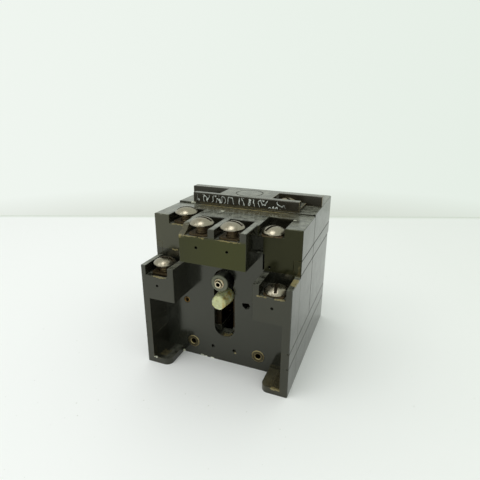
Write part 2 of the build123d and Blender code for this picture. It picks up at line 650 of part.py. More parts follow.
def inserts(x, z, radius, bore, back):
    """A pair of brass rings, standing 0.1 proud of the plate."""
    rings = []
    for place in (-x, x):
        ring = peg(place, (PLATE_FRONT - 0.1, back), z, radius)
        rings.append(ring - peg(place, (PLATE_FRONT - 0.1, back), z, bore))
    return rings


# ---- the whole switch -------------------------------------------------------------------------
def housing_parts():
    return {
        "base": make_base(),
        "lower_frame": make_lower_frame(),
        "lower_housing_front": make_lower_housing_front(),
        "lower_housing_rear": make_lower_housing_rear(),
        "upper_frame_front": make_upper_frame_front(),
        "upper_frame_rear": make_upper_frame_rear(),
        "top_housing_front": make_top_housing_front(),
        "top_housing_rear": make_top_housing_rear(),
        "top_bridge": make_top_bridge(),
        "front_plate": make_front_plate(),
    }


def contact_parts():
    parts = {"jaw_rivets": make_rivets()}
    for index, x in enumerate(POLES):
        number = index + 1
        line_y = JAW_FRONT + JAW_LENGTH / 2
        load_y = LOAD_JAW + JAW_LENGTH / 2
        parts[f"line_strap_{number}"] = make_line_strap(index)
        parts[f"load_strap_{number}"] = make_load_strap(index)
        parts[f"line_jaw_{number}"] = make_jaw(x, line_y, BLADE_T, JAW_LENGTH, JAW_LENGTH)
        parts[f"load_jaw_{number}"] = make_jaw(x, load_y, BLADE_T, JAW_LENGTH, JAW_LENGTH)
        parts[f"blade_{number}"] = make_blade(x)
    for index, side in enumerate(("left", "right")):
        x = AUX_SCREWS[index][0]
        parts[f"aux_strap_{side}"] = make_aux_strap(index)
        parts[f"aux_jaw_{side}"] = make_jaw(x, AUX_Y, AUX_BLADE_T, 3.2, 2.9, along_x=True)
    return parts


def carriage_parts():
    return {
        "crossbar": make_crossbar(),
        "blade_rod": rod_hole(27.0),
        "drive_arm": make_drive_arm(),
        "drive_eyelet": make_drive_eyelet(),
        "drive_tip": make_drive_tip(),
        "aux_blade": make_aux_blade(),
        "return_spring_left": make_return_spring(-1),
        "return_spring_right": make_return_spring(1),
    }


def fastener_parts():
    return {
        "line_terminal_screws": terminal_screws(LINE_SCREWS, 54.5),
        "aux_terminal_screws": terminal_screws(AUX_SCREWS, 35.5),
        "load_terminal_screws": terminal_screws(LOAD_SCREWS, 54.5),
        "line_clamp_plates": clamp_plates(LINE_SCREWS, POCKET_FLOOR),
        "aux_clamp_plates": clamp_plates(AUX_SCREWS, TOWER_FLOOR),
        "load_clamp_plates": clamp_plates(LOAD_SCREWS, POCKET_FLOOR),
        "stack_screws": make_stack_screws(),
        "bridge_screw": make_bridge_screw(),
        "plate_inserts": inserts(INSERT_X, INSERT_Z, INSERT_R, INSERT_BORE_R, PLATE_BACK + WALL),
        "small_inserts": inserts(SMALL_INSERT_X, SMALL_INSERT_Z, SMALL_INSERT_R,
                                 SMALL_INSERT_BORE_R, PLATE_BACK),
    }


def write(node, shape):
    if isinstance(shape, list):
        shape = Compound(children=shape)
    shape.label = node
    export_step(shape, f"parts/{node}.step")


def main():
    os.makedirs("parts", exist_ok=True)
    parts = {**housing_parts(), **contact_parts(), **carriage_parts(), **fastener_parts()}
    for node, shape in parts.items():
        write(node, shape)
    print(len(parts), "nodes written")


main()
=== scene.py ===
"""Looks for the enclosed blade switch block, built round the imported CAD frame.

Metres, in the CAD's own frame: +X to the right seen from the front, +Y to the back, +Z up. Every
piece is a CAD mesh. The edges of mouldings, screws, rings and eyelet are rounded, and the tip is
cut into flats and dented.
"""
import json
import math

import bmesh
import bpy
from mathutils import Matrix, Vector, noise


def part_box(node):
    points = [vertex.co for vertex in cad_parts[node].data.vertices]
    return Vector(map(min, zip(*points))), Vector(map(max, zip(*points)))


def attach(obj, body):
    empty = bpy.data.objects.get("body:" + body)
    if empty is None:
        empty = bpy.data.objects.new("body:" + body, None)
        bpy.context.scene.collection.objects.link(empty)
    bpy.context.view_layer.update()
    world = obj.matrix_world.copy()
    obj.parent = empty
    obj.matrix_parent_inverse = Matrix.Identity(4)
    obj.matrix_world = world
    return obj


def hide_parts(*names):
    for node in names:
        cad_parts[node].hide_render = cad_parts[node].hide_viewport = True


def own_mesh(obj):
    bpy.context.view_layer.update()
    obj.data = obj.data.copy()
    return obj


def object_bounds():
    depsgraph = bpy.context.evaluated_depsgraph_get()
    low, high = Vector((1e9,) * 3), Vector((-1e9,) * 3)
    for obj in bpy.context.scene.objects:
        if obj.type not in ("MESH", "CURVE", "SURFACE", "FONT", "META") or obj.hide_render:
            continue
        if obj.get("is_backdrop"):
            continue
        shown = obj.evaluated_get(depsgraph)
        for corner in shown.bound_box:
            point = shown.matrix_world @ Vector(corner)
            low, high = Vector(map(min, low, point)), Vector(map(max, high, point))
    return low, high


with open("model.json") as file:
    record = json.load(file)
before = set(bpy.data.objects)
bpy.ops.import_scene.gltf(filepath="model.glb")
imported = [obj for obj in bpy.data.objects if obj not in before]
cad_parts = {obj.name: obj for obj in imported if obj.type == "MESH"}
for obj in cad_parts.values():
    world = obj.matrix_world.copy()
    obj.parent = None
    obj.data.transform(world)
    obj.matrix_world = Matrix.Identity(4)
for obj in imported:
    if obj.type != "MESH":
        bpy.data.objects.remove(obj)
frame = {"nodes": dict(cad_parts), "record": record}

CAD_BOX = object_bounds()
RECORD = frame["record"]
SLOT_OF = {part["node"]: part["material_slot"] for part in RECORD["subparts"]}
BODY_OF = {n: body for body, nodes in RECORD["behaviour"]["bodies"].items() for n in nodes}
MATERIALS = {}               # every finish, by name
MM = 0.001

MOULDINGS = ("base", "lower_frame", "lower_housing_front", "lower_housing_rear",
             "upper_frame_front", "upper_frame_rear", "top_housing_front", "top_housing_rear",
             "top_bridge", "front_plate", "crossbar")
TERMINAL_SCREWS = ("line_terminal_screws", "aux_terminal_screws", "load_terminal_screws",
                   "bridge_screw")
RINGS = ("plate_inserts", "small_inserts")
SPRINGS = ("return_spring_left", "return_spring_right")
# Nodes whose finish differs from the one that their material slot names
OWN_FINISH = {"plate_inserts": "ring_brass", "small_inserts": "ring_brown"}

WELD = 0.001 * MM            # vertices of the CAD mesh closer than this become one
LEVEL_FACES = math.radians(0.6)   # CAD faces that meet at less than this become one
SHARP = math.radians(50)     # edges sharper than this are rounded
EDGE_ROUND = 0.22 * MM
SCREW_ROUND = 0.12 * MM
RING_ROUND = 0.32 * MM
LIP_ROUND = 0.14 * MM
SHORTEST = 1.0 * MM          # edges of a moulding shorter than this stay sharp
SHORTEST_PLATE = 0.3 * MM    # the same on the front plate, whose holes are small
SHORTEST_METAL = 0.02 * MM   # the same on turned metal
MOULDED_SMOOTH = math.radians(35)
TURNED_SMOOTH = math.radians(50)
COIL_SMOOTH = math.radians(60)
TIP_SMOOTH = math.radians(24)

SHANK_REACH = 2.42 * MM      # farthest that a screw's thread reaches from its axis
HEAD_DEPTH = 2.6 * MM        # the part of a screw, from its top, that is its head
SLOT_HALF = 0.75 * MM        # a little more than half the width of a screw's slot
SLOT_DEPTH = 1.2 * MM
BOSS_RUB = 0.6 * MM          # how far the pale rub reaches back from the boss's face
EYELET_TUBE = 1.5 * MM       # a little more than the radius of the eyelet's inner tube

# Flats of the tip's front end: direction in degrees from +X, and distance from the axis in mm
TIP_FLATS = ((12, 3.2), (55, 2.9), (100, 3.1), (143, 2.9), (190, 3.1), (226, 2.8), (264, 3.3),
             (308, 2.7), (340, 3.1))
TIP_LEAN = 0.12              # slope of the flats towards the front
TIP_GRAIN = 0.6 * MM         # edges longer than this are divided for the dents
TIP_SHRINK = 0.02            # how much slimmer the front gets, as a share of the radius
TIP_DENTS = 0.22             # how deep the dents get, as a share of the radius
DENTS_PER_METRE = 480
DENTS_SHIFT = Vector((3, 1, 7))
TIP_CLEARANCE = 0.1 * MM     # between the tip's back and the frame it slides past

# Zones of the mouldings, as low and high on one axis
BLOCK_X = (-14.1 * MM, 14.1 * MM)         # the middle block, which stands out at the top
BLOCK_Z = (50.2 * MM, 61.6 * MM)
BLOCK_FACE_Y = (-36 * MM, -34.2 * MM)
BLOCK_FADE_X = (-13 * MM, 4 * MM)         # where its olive grows to full
# Painted light lightens the left front wall; painted shade dims the reflections of the right one
LEFT_X = (-34 * MM, -14.5 * MM)           # the front walls beside that block
LEFT_Z = (50.2 * MM, 70 * MM)
RIGHT_X = (14.3 * MM, 34 * MM)
WALL_FACE_Y = (-23.6 * MM, -22.4 * MM)
RIB_FACE_Y = (-3 * MM, -1.5 * MM)
PAINT_START = 9.5 * MM       # bare length of the rib's face at the left of the paint
PAINT_END = 14 * MM          # the same at its right
PAINT_MARGIN = 0.7 * MM      # the same above and below
PAINT_SIZE = 2.4 * MM        # size of its squiggles
# Heights over which the wear ends above the feet, and starts again below the terminals
FEET_END_Z = (4 * MM, 6 * MM)
TERMINALS_START_Z = (55.5 * MM, 60 * MM)
DUST_START_Z = (4 * MM, 8 * MM)           # where the dust grows from half to full
CRISP = 0.1 * MM             # softness of a mask that ends on an edge
BEYOND = 1.0                 # a bound farther out than any piece
SEAM_Y = -2.0 * MM           # the joint between the front and the rear mouldings
SEAM_HALF = 0.16 * MM        # half of the width of the dirt in a joint

# Worn spots of the mouldings, as (centre, reach along each axis), both in millimetres
TAN_SPOTS = (((30.9, -28.0, 46.9), (1.3, 3.0, 0.9)), ((26.9, -35.2, 2.6), (1.8, 0.9, 0.45)),
             ((-20.6, -22.6, 61.5), (3.0, 0.9, 0.35)), ((20.4, -35.2, 42.2), (1.8, 0.7, 0.25)),
             ((27.4, -35.2, 42.2), (2.0, 0.7, 0.25)), ((-23.5, -35.2, 42.2), (3.0, 0.7, 0.25)),
             ((-7.4, -34.4, 61.5), (4.6, 0.7, 0.22)), ((6.8, -34.4, 61.5), (4.8, 0.5, 0.22)),
             ((-22.6, -23.0, 49.9), (1.2, 0.4, 0.3)), ((4.9, -23.0, 5.8), (0.6, 0.6, 0.3)),
             ((-13.4, -33.2, 61.0), (0.8, 1.4, 0.7)), ((1.8, -21.4, 13.0), (2.8, 1.0, 0.8)),
             ((-1.0, -2.9, 65.4), (20.0, 0.5, 0.5)))
# The last brown spot is a band on the top along the foot of the rib
BROWN_SPOTS = (((25.8, -29.0, 2.8), (4.8, 6.0, 1.5)), ((-25.6, -30.6, 2.8), (1.8, 2.2, 0.4)),
               ((-12.7, -31.4, 63.0), (1.5, 3.2, 2.4)), ((31.2, -23.2, 49.0), (0.5, 0.6, 2.4)),
               ((1.6, -21.6, 13.2), (3.4, 1.2, 1.0)), ((4.7, -22.0, 17.0), (0.6, 0.8, 2.6)),
               ((2.0, -5.5, 65.6), (22.0, 4.0, 0.8)))
PALE_CHIPS = (((-10.4, -23.0, 0.2), (1.7, 0.7, 0.32)), ((-6.2, -23.0, 0.1), (0.9, 0.7, 0.25)),
              ((-20.7, -23.0, 0.4), (0.5, 0.8, 0.6)), ((-28.0, -35.2, 2.8), (0.8, 0.45, 0.25)),
              ((-6.5, -9.3, 65.3), (0.8, 0.6, 0.4)), ((25.4, -11.2, 65.3), (0.8, 0.5, 0.4)),
              ((-24.8, -2.2, 65.9), (1.1, 0.5, 0.4)))
SPOT_RAG = 1.3 * MM          # size of the ragged steps along a spot's outline
SPOT_SHIFT = Vector((1.6, 1.6, 1.6)) * MM   # how far the steps move it


# ---- node helpers -----------------------------------------------------------------------------
def node(tree, kind, values=None, **settings):
    """Add a shader node; values gives its inputs by name or number, as sockets or constants."""
    made = tree.nodes.new("ShaderNode" + kind)
    for key, value in settings.items():
        setattr(made, key, value)
    for key, value in (values or {}).items():
        if isinstance(value, bpy.types.NodeSocket):
            tree.links.new(value, made.inputs[key])
        else:
            made.inputs[key].default_value = value
    return made


def new_material(name):
    """The empty node tree of a new finish, which MATERIALS keeps by its name."""
    material = bpy.data.materials.new(name)
    material.use_nodes = True
    material.node_tree.nodes.clear()
    MATERIALS[name] = material
    return material.node_tree


def object_place(tree):
    """Coordinates that stay with the piece, in metres."""
    return node(tree, "TexCoord").outputs["Object"]


def coordinate(tree, axis):
    """The X, Y or Z of the object coordinates."""
    return node(tree, "SeparateXYZ", {0: object_place(tree)}).outputs[axis]


def place(tree, stretch=(1, 1, 1)):
    """The object coordinates, scaled along each axis."""
    return node(tree, "Mapping", {"Vector": object_place(tree), "Scale": stretch}).outputs[0]


def cloud(tree, size, low=0.35, high=0.65, detail=4.0, stretch=(1, 1, 1), shift=0.0):
    """Noise with features of a size in metres, spread between low and high to 0 to 1."""
    grain = node(tree, "TexNoise", {"Vector": place(tree, stretch), "W": shift,
                                    "Scale": 1 / size, "Detail": detail, "Roughness": 0.6},
                 noise_dimensions="4D")
    return span(tree, grain.outputs["Fac"], low, high)


def span(tree, value, low, high, to_low=0.0, to_high=1.0):
    """Map low..high to to_low..to_high, clamped."""
    return node(tree, "MapRange", {"Value": value, "From Min": low, "From Max": high,
                                   "To Min": to_low, "To Max": to_high}).outputs[0]


def calc(tree, kind, first, second=0.0):
    """One Math node."""
    return node(tree, "Math", {0: first, 1: second}, operation=kind).outputs[0]


def times(tree, first, *others):
    """Product of all the values."""
    for other in others:
        first = calc(tree, "MULTIPLY", first, other)
    return first


def plus(tree, value, mask, amount):
    """The value, and amount more where the mask is 1."""
    return calc(tree, "ADD", value, times(tree, mask, amount))


def mixed(tree, factor, first, second):
    """first where the factor is 0, second where it is 1."""
    return node(tree, "Mix", {0: factor, 6: first, 7: second}, data_type="RGBA").outputs[2]


def colour(red, green, blue):
    """Linear colour with full alpha."""
    return (red, green, blue, 1.0)


def facing_up(tree):
    """1 on level faces that look up, 0 elsewhere."""
    normal = node(tree, "NewGeometry").outputs["Normal"]
    upward = node(tree, "SeparateXYZ", {0: normal}).outputs["Z"]
    return span(tree, upward, 0.8, 0.97)


def within(tree, axis, low, high, soft=CRISP):
    """1 where the object coordinate on one axis lies between low and high, with soft ends."""
    value = coordinate(tree, axis)
    rising = span(tree, value, low - soft, low + soft)
    falling = span(tree, value, high - soft, high + soft, 1.0, 0.0)
    return times(tree, rising, falling)


def spots(tree, rows):
    """1 inside the listed ragged boxes of the piece, fading to 0 at the reach of each."""
    ragged = node(tree, "TexNoise", {"Vector": object_place(tree), "Scale": 1 / SPOT_RAG,
                                     "Detail": 2.0}).outputs["Color"]
    shifted = node(tree, "VectorMath", {0: ragged, 1: (-0.5, -0.5, -0.5)}).outputs[0]
    coords = node(tree, "VectorMath", {0: shifted, 1: SPOT_SHIFT, 2: object_place(tree)},
                  operation="MULTIPLY_ADD").outputs[0]
    total = 0.0
    for centre, reach in rows:
        offset = node(tree, "VectorMath", {0: coords, 1: Vector(centre) * MM},
                      operation="SUBTRACT").outputs[0]
        scaled = node(tree, "VectorMath", {0: offset, 1: Vector(reach) * MM},
                      operation="DIVIDE").outputs[0]
        away = node(tree, "VectorMath", {0: scaled}, operation="ABSOLUTE").outputs[0]
        sides = node(tree, "SeparateXYZ", {0: away}).outputs
        farthest = calc(tree, "MAXIMUM", calc(tree, "MAXIMUM", sides["X"], sides["Y"]), sides["Z"])
        spot = span(tree, farthest, 0.85, 1.1, 1.0, 0.0)
        total = calc(tree, "MAXIMUM", total, spot)
    return total


def bumped(tree, height, depth, under=None):
    """Normals of a relief of a depth in metres, on top of the normals under it."""
    values = {"Height": height, "Distance": depth, "Strength": 1.0}
    if under is not None:
        values["Normal"] = under
    return node(tree, "Bump", values).outputs[0]


def finish_surface(tree, base, roughness, normal, **extra):
    """Close the tree with a Principled shader; extra sets more of its inputs."""
    values = {"Base Color": base, "Roughness": roughness, "Normal": normal}
    values.update(extra)
    surface = node(tree, "BsdfPrincipled", values)
    node(tree, "OutputMaterial", {"Surface": surface.outputs[0]})


# ---- tones of age and wear --------------------------------------------------------------------
PHENOLIC_SHINE = colour(1.0, 1.0, 0.86)
ZONED_SHINE = colour(1.0, 1.0, 0.84)
OLIVE_SHINE = colour(1.0, 0.99, 0.60)
BLOCK_OLIVE = colour(0.027, 0.029, 0.0075)
# Painted light: the brown that lightens the left upper front
LEFT_PAINTED_LIGHT = colour(0.050, 0.047, 0.022)
RIGHT_OLIVE = colour(0.017, 0.017, 0.005)
SEAM_DIRT = colour(0.004, 0.0035, 0.0025)
SPECK_BROWN = colour(0.05, 0.04, 0.025)
DUST_GREY = colour(0.38, 0.38, 0.31)
SPOTS_BROWN = colour(0.075, 0.060, 0.028)
RUB_TAN = colour(0.25, 0.20, 0.085)
EDGE_TAN = colour(0.36, 0.28, 0.13)
CHIP_CREAM = colour(0.62, 0.62, 0.50)
OLD_WHITE = colour(0.72, 0.75, 0.72)
NYLON_GRIME = colour(0.28, 0.22, 0.08)
# Orange-brown of the painted shade on the tip's right side
NYLON_PAINTED_SHADE = colour(0.40, 0.27, 0.06)


# ---- materials --------------------------------------------------------------------------------
def phenolic(name, tones, roughness, worn=0.0, zoned=False, paint=False, level=0.5):
    """Old glossy phenolic moulding, in clouds of two tones.

    worn is how much tan wear covers it, for the edges. zoned adds the case's coloured fronts, with
    painted light on the left one and painted shade on the right one, and the dirt in its joints,
    paint the smudges on the rib, and level is its specular level.
    """
    tree = new_material(name)
    base = mixed(tree, cloud(tree, 22 * MM), *tones)
    tint = PHENOLIC_SHINE
    if zoned:
        base, tint, level = front_zones(tree, base)
        seams = seam_grime(tree)
        base = mixed(tree, seams, base, SEAM_DIRT)
        level = times(tree, level, span(tree, seams, 0.0, 1.0, 1.0, 0.1))
    speck = cloud(tree, 0.6 * MM, 0.62, 0.72, detail=2.0)
    base = mixed(tree, times(tree, speck, 0.12), base, SPECK_BROWN)
    dust = settled_dust(tree)
    base = mixed(tree, times(tree, dust, 0.55), base, DUST_GREY)
    scratch = cloud(tree, 0.5 * MM, 0.66, 0.74, stretch=(0.06, 0.06, 1.0), shift=3.0)
    rough = plus(tree, roughness, cloud(tree, 5 * MM), 0.08)
    rough = plus(tree, rough, dust, 0.06)
    rough = plus(tree, rough, scratch, 0.10)
    base, rough = worn_spots(tree, base, rough)
    if zoned:
        rough = plus(tree, rough, seams, 0.7)
    if worn:
        wear = edge_wear(tree, worn)
        base = mixed(tree, wear, base, EDGE_TAN)
        rough = plus(tree, rough, wear, 0.25)
    if paint:
        base = mixed(tree, rubbed_paint(tree), base, OLD_WHITE)
    pits = cloud(tree, 0.25 * MM, 0.3, 0.7, detail=2.0, shift=9.0)
    waves = cloud(tree, 9 * MM, 0.2, 0.8, detail=1.0, shift=4.0)
    normal = bumped(tree, waves, 0.005 * MM, bumped(tree, pits, 0.001 * MM))
    finish_surface(tree, base, rough, normal, IOR=1.62,
                   **{"Specular Tint": tint, "Specular IOR Level": level})


def settled_dust(tree):
    """Dust on the level faces, thinner on the feet."""
    share = span(tree, coordinate(tree, "Z"), *DUST_START_Z, 0.5, 1.0)
    return times(tree, facing_up(tree), cloud(tree, 3 * MM, 0.3, 0.75), share)


def edge_wear(tree, worn):
    """Patches of wear: full at the feet and round the terminals, little on the seams between."""
    patches = cloud(tree, 4 * MM, 0.62 - worn * 0.4, 0.68, shift=5.0)
    grain = cloud(tree, 0.7 * MM, 0.25, 0.6, shift=1.0)
    height = coordinate(tree, "Z")
    handled = calc(tree, "ADD", span(tree, height, *TERMINALS_START_Z),
                   span(tree, height, *FEET_END_Z, 1.0, 0.0))
    return times(tree, patches, grain, span(tree, handled, 0.0, 1.0, 0.3, 1.0))


def seam_grime(tree):
    """1 along the joints between the layers, where they meet on the side and back walls."""
    low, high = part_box("base")
    heights = [high.z, *(end.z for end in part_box("lower_housing_front")),
               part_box("upper_frame_rear")[1].z]
    mask = within(tree, "Y", SEAM_Y - SEAM_HALF, SEAM_Y + SEAM_HALF, SEAM_HALF)
    mask = times(tree, mask, within(tree, "Z", heights[1], BEYOND, SEAM_HALF))
    for height in heights:
        line = within(tree, "Z", height - SEAM_HALF, height + SEAM_HALF, SEAM_HALF)
        mask = calc(tree, "MAXIMUM", mask, line)
    off_sides = within(tree, "X", low.x + MM, high.x - MM)
    off_back = within(tree, "Y", -BEYOND, high.y - MM)
    on_walls = calc(tree, "SUBTRACT", 1.0, times(tree, off_sides, off_back))
    return times(tree, mask, on_walls)


def front_zones(tree, base):
    """Colour, tint and specular level of the case, with its zones.

    They are the olive middle block, the left upper front, lightened brown as painted light, and
    the olive right one, whose reflections are dimmed as painted shade.
    """
    wall = within(tree, "Y", *WALL_FACE_Y)
    middle = times(tree, within(tree, "X", *BLOCK_X), within(tree, "Y", *BLOCK_FACE_Y),
                   within(tree, "Z", *BLOCK_Z, 0.6 * MM))
    # The left upper front, lightened as painted light
    left = times(tree, within(tree, "X", *LEFT_X, 0.5 * MM), within(tree, "Z", *LEFT_Z), wall)
    # The right upper front, its reflections dimmed as painted shade
    shaded_right = times(tree, within(tree, "X", *RIGHT_X, 0.3 * MM), wall)
    olive = times(tree, middle, span(tree, coordinate(tree, "X"), *BLOCK_FADE_X, 0.55, 1.0))
    base = mixed(tree, olive, base, BLOCK_OLIVE)
    base = mixed(tree, times(tree, left, 0.5), base, LEFT_PAINTED_LIGHT)
    base = mixed(tree, times(tree, shaded_right, 0.5), base, RIGHT_OLIVE)
    tint = mixed(tree, calc(tree, "MAXIMUM", middle, shaded_right), ZONED_SHINE, OLIVE_SHINE)
    # Specular level: lower on the middle block, and lower on the right as painted shade
    dull_block_and_painted_shade = plus(tree, times(tree, middle, 0.22), shaded_right, 0.30)
    return base, tint, calc(tree, "SUBTRACT", 0.5, dull_block_and_painted_shade)


def worn_spots(tree, base, rough):
    """Brown patches, tan rubs and pale chips where the case has been handled most, and a brown
    band on the top along the foot of the rib.
    """
    grain = cloud(tree, 0.8 * MM, 0.30, 0.50, shift=7.0)
    browned = times(tree, spots(tree, BROWN_SPOTS), grain)
    base = mixed(tree, times(tree, browned, 0.65), base, SPOTS_BROWN)
    rubbed = times(tree, spots(tree, TAN_SPOTS), grain)
    base = mixed(tree, times(tree, rubbed, 0.8), base, RUB_TAN)
    chipped = times(tree, spots(tree, PALE_CHIPS), grain)
    base = mixed(tree, chipped, base, CHIP_CREAM)
    return base, plus(tree, rough, calc(tree, "MAXIMUM", rubbed, chipped), 0.3)


def rubbed_paint(tree):
    """Squiggles and rubs of old white paint along the face of the front rib."""
    low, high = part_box("top_bridge")
    along = within(tree, "X", low.x + PAINT_START, high.x - PAINT_END, 1.5 * MM)
    height = within(tree, "Z", low.z + PAINT_MARGIN, high.z - PAINT_MARGIN, 0.25 * MM)
    depth = within(tree, "Y", *RIB_FACE_Y)
    field = node(tree, "TexNoise", {"Vector": place(tree, (1.0, 1.0, 0.6)),
                                    "Scale": 1 / PAINT_SIZE, "Detail": 1.0}).outputs["Fac"]
    from_contour = calc(tree, "ABSOLUTE", calc(tree, "SUBTRACT", field, 0.5))
    stroke = span(tree, from_contour, 0.020, 0.036, 1.0, 0.0)
    grain = cloud(tree, 0.5 * MM, 0.30, 0.52, shift=6.0)
    return times(tree, stroke, grain, along, height, depth)


def metal(name, bright, stained, stain, roughness):
    """Metal with stained patches. stain is how much of it is stained, 0 to 1."""
    tree = new_material(name)
    patches = cloud(tree, 2.2 * MM, 0.72 - 0.5 * stain, 0.85 - 0.35 * stain, shift=2.0)
    base = mixed(tree, patches, bright, stained)
    base = mixed(tree, times(tree, cloud(tree, 0.5 * MM), 0.3), base, stained)
    rough = plus(tree, roughness, patches, 0.25)
    brushed = cloud(tree, 0.12 * MM, 0.3, 0.7, stretch=(0.15, 1.0, 1.0), shift=8.0)
    normal = bumped(tree, brushed, 0.002 * MM)
    shine = span(tree, patches, 0.0, 1.0, 1.0, 0.75)
    finish_surface(tree, base, rough, normal, Metallic=shine)


def rusty(name, depth=1.0):
    """Plated steel gone brown, as on the clamp plates and screw threads. depth scales its tone."""
    tree = new_material(name)
    patches = cloud(tree, 1.2 * MM, 0.4, 0.6)
    base = mixed(tree, patches, colour(0.16 * depth, 0.12 * depth, 0.06 * depth),
                 colour(0.07 * depth, 0.04 * depth, 0.015 * depth))
    rough = span(tree, patches, 0.0, 1.0, 0.38, 0.7)
    shine = span(tree, patches, 0.0, 1.0, 0.9, 0.2)
    normal = bumped(tree, cloud(tree, 0.3 * MM, 0.2, 0.8), 0.03 * MM)
    finish_surface(tree, base, rough, normal, Metallic=shine)


def nylon(name):
    """Aged cream nylon, a little see-through, with orange-brown painted shade in patches on its
    right side.
    """
    tree = new_material(name)
    base = mixed(tree, cloud(tree, 3 * MM, 0.3, 0.7), colour(0.62, 0.64, 0.39),
                 colour(0.48, 0.49, 0.26))
    grime = cloud(tree, 1.2 * MM, 0.55, 0.72, shift=3.0)
    base = mixed(tree, times(tree, grime, 0.6), base, NYLON_GRIME)
    low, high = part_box("drive_tip")
    # Painted shade: orange-brown patches on the right quarter of the tip
    shaded_right = within(tree, "X", (low.x + 3 * high.x) / 4, high.x + MM, 0.4 * MM)
    painted_shade_patches = times(tree, shaded_right, cloud(tree, 1.5 * MM, 0.45, 0.6, shift=1.0))
    base = mixed(tree, times(tree, painted_shade_patches, 0.8), base, NYLON_PAINTED_SHADE)
    normal = bumped(tree, cloud(tree, 1.6 * MM, 0.2, 0.8, detail=2.0), 0.25 * MM)
    finish_surface(tree, base, 0.38, normal, IOR=1.5,
                   **{"Subsurface Weight": 0.8, "Subsurface Scale": 2.4 * MM,
                      "Subsurface Radius": (1.0, 1.0, 0.6)})


def make_phenolics():
    """The moulded finishes. A name with _edge is for the rounded edges of the same moulding."""
    case = colour(0.0085, 0.0085, 0.006), colour(0.013, 0.0125, 0.0085)
    plate = colour(0.0095, 0.0100, 0.0075), colour(0.0135, 0.0140, 0.0105)
    bridge = colour(0.012, 0.0095, 0.0065), colour(0.017, 0.0135, 0.009)
    black = colour(0.005, 0.005, 0.004), colour(0.008, 0.008, 0.007)
    rubbed = colour(0.085, 0.088, 0.058), colour(0.11, 0.115, 0.078)
    phenolic("phenolic_case", case, 0.13, zoned=True)
    phenolic("phenolic_case_edge", case, 0.22, worn=0.75, zoned=True)
    phenolic("phenolic_plate", plate, 0.12)
    phenolic("phenolic_plate_edge", plate, 0.2, worn=0.6)
    phenolic("phenolic_bridge", bridge, 0.2, paint=True, level=0.3)
    phenolic("phenolic_bridge_edge", bridge, 0.28, worn=0.9)
    phenolic("phenolic_carriage", black, 0.3)
    phenolic("phenolic_carriage_edge", black, 0.35, worn=0.3)
    phenolic("phenolic_arm", black, 0.3, level=0.2)
    phenolic("arm_face", rubbed, 0.3)


def make_metals():
    """The metal finishes, as bright colour, stained colour, share stained and roughness."""
    steel = colour(0.50, 0.49, 0.45), colour(0.20, 0.16, 0.12)
    metal("screw_nickel", colour(0.33, 0.30, 0.235), colour(0.18, 0.15, 0.10), 0.4, 0.27)
    metal("screw_brass", colour(0.26, 0.22, 0.13), colour(0.12, 0.09, 0.05), 0.6, 0.34)
    metal("screw_steel", *steel, 0.3, 0.35)
    metal("spring_steel", *steel, 0.1, 0.25)
    metal("brass", colour(0.035, 0.024, 0.012), colour(0.012, 0.009, 0.005), 0.55, 0.38)
    metal("ring_brass", colour(0.10, 0.085, 0.05), colour(0.045, 0.036, 0.02), 0.5, 0.42)
    metal("ring_brass_edge", colour(0.34, 0.28, 0.14), colour(0.20, 0.15, 0.07), 0.35, 0.36)
    metal("ring_brown_edge", colour(0.26, 0.16, 0.05), colour(0.08, 0.045, 0.02), 0.5, 0.4)
    metal("copper", colour(0.22, 0.15, 0.10), colour(0.07, 0.045, 0.03), 0.4, 0.34)
    metal("eyelet_metal", colour(0.60, 0.53, 0.38), colour(0.26, 0.19, 0.09), 0.3, 0.22)
    rusty("ring_brown")
    rusty("clamp_steel", 0.75)
    rusty("thread_rust", 0.8)
    # Painted shade: dark brown for the walls and floors of the screw slots
    rusty("slot_painted_shade", 0.35)


# ---- mesh helpers -----------------------------------------------------------------------------
def welded_copy(node_name):
    """The CAD mesh of a node, with its split vertices joined again."""
    mesh = bmesh.new()
    mesh.from_mesh(frame["nodes"][node_name].data)
    bmesh.ops.remove_doubles(mesh, verts=mesh.verts, dist=WELD)
    return mesh


def clean_copy(node_name):
    """The CAD mesh of a node as welded, flat-sided faces, ready for rounding."""
    mesh = welded_copy(node_name)
    bmesh.ops.dissolve_limit(mesh, angle_limit=LEVEL_FACES, verts=mesh.verts, edges=mesh.edges)
    return mesh


def stand_for(node_name, name, mesh, slots):
    """Put a finished bmesh in the scene in place of a CAD node."""
    data = bpy.data.meshes.new(name)
    mesh.to_mesh(data)
    mesh.free()
    for slot in slots:
        data.materials.append(MATERIALS[slot])
    piece = bpy.data.objects.new(name, data)
    bpy.context.scene.collection.objects.link(piece)
    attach(piece, BODY_OF[node_name])
    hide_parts(node_name)
    return piece


def shade_smooth(piece, angle=MOULDED_SMOOTH):
    """Smooth shading, with the edges sharper than the angle kept sharp."""
    piece.data.polygons.foreach_set("use_smooth", [True] * len(piece.data.polygons))
    piece.data.set_sharp_from_angle(angle=angle)


def round_edges(piece, width, segments=2, slot=1):
    """Round the marked edges; broad faces stay flat.

    slot is the material slot of the rounding, or -1 for that of the faces beside it.
    """
    bevel = piece.modifiers.new("worn_edges", "BEVEL")
    bevel.limit_method = "WEIGHT"
    bevel.width = width
    bevel.segments = segments
    bevel.material = slot
    bevel.use_clamp_overlap = True
    flat = piece.modifiers.new("flat_faces", "WEIGHTED_NORMAL")
    flat.keep_sharp = True
    flat.weight = 100


def is_corner(edge):
    """Whether an edge is an outside corner sharp enough to round."""
    return len(edge.link_faces) == 2 and edge.is_convex and edge.calc_face_angle() > SHARP


def mark_corners(mesh, shortest):
    """Mark the outside corners that are long enough to round."""
    weight = mesh.edges.layers.float.new("bevel_weight_edge")
    for edge in mesh.edges:
        if edge.calc_length() > shortest and is_corner(edge):
            edge[weight] = 1.0


def finish_of(node_name):
    """Name of the finish of a CAD node."""
    return OWN_FINISH.get(node_name, SLOT_OF[node_name])


